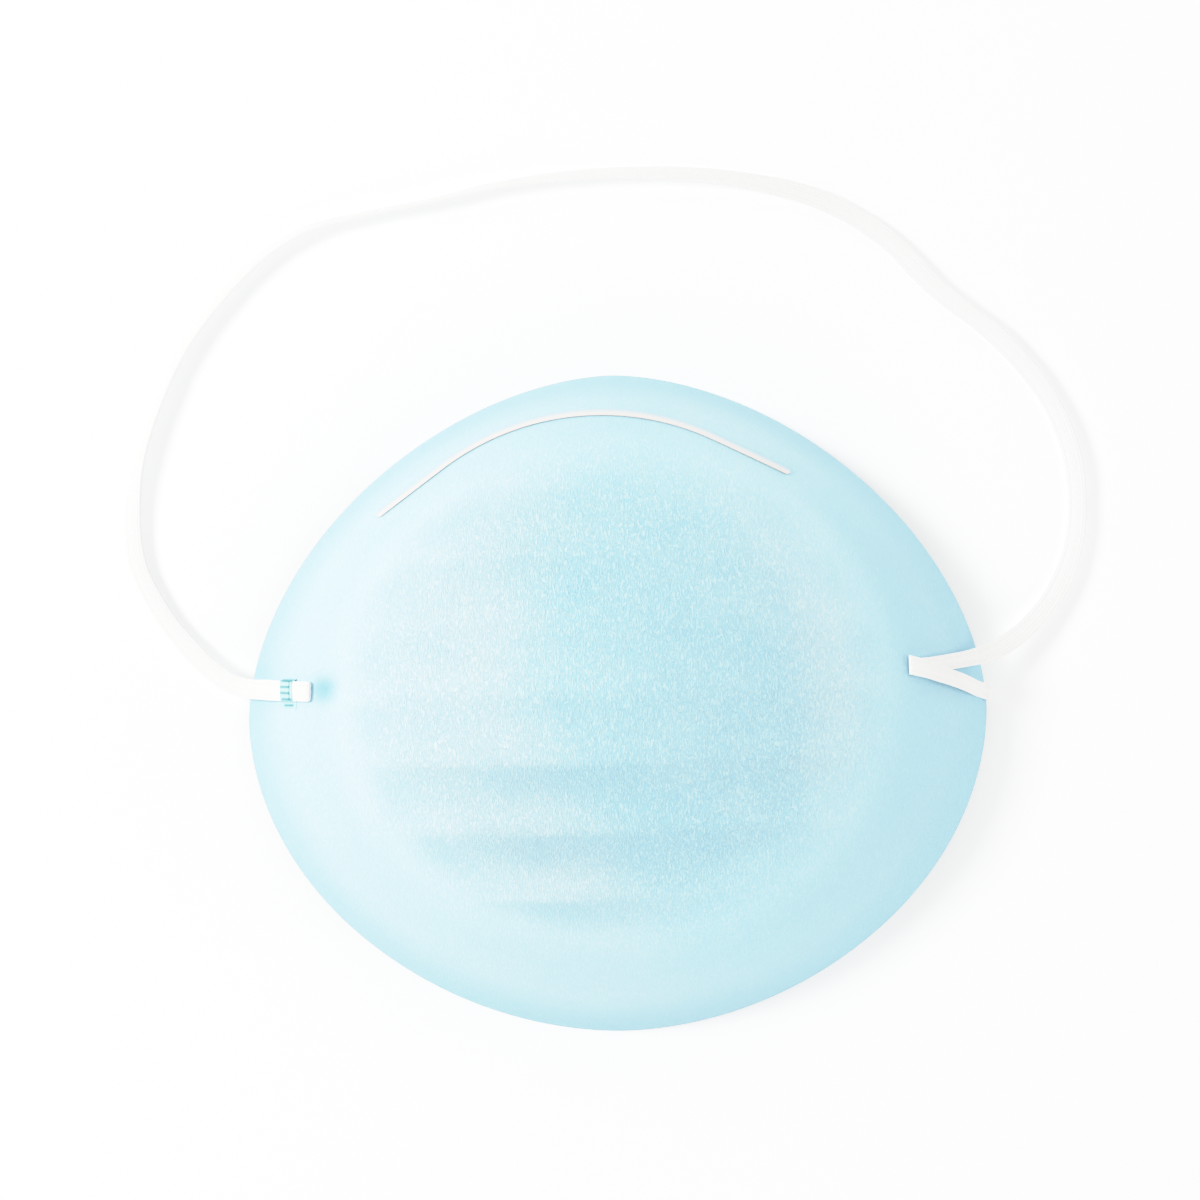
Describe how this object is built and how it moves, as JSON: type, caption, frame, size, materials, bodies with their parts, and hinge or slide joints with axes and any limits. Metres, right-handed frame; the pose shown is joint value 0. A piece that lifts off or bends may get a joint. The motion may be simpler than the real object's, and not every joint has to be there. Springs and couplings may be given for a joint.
{
  "type": "cone face mask",
  "caption": "Moulded cone face mask: a hollow pale blue nonwoven cup with a ribbed front, a bendable nose clip and a flat elastic head strap laid out loose.",
  "frame": {"origin": "on the surface the mask lies on, under the middle of the cup's outline; the loose strap is left out of that middle", "axes": "+X to the right cheek as seen from the front, +Y towards the nose, +Z out of the front of the cup, away from the face"},
  "size_m": [0.1833, 0.1645, 0.045],
  "materials": {
    "nonwoven": "pale blue pressed nonwoven with a fine crepe of fibres, matt",
    "coated_strip": "thin aluminium strip with a pale satin coat and bare cut edges",
    "elastic": "white knitted elastic with fine lengthwise cords, matt",
    "weld": "melted teal nonwoven, ridged and slightly glossy"
  },
  "bodies": {
    "root": {"cup": "nonwoven", "nose_clip": "coated_strip", "head_strap": "elastic", "strap_turn": "elastic", "strap_weld": "weld"}
  },
  "joints": []
}
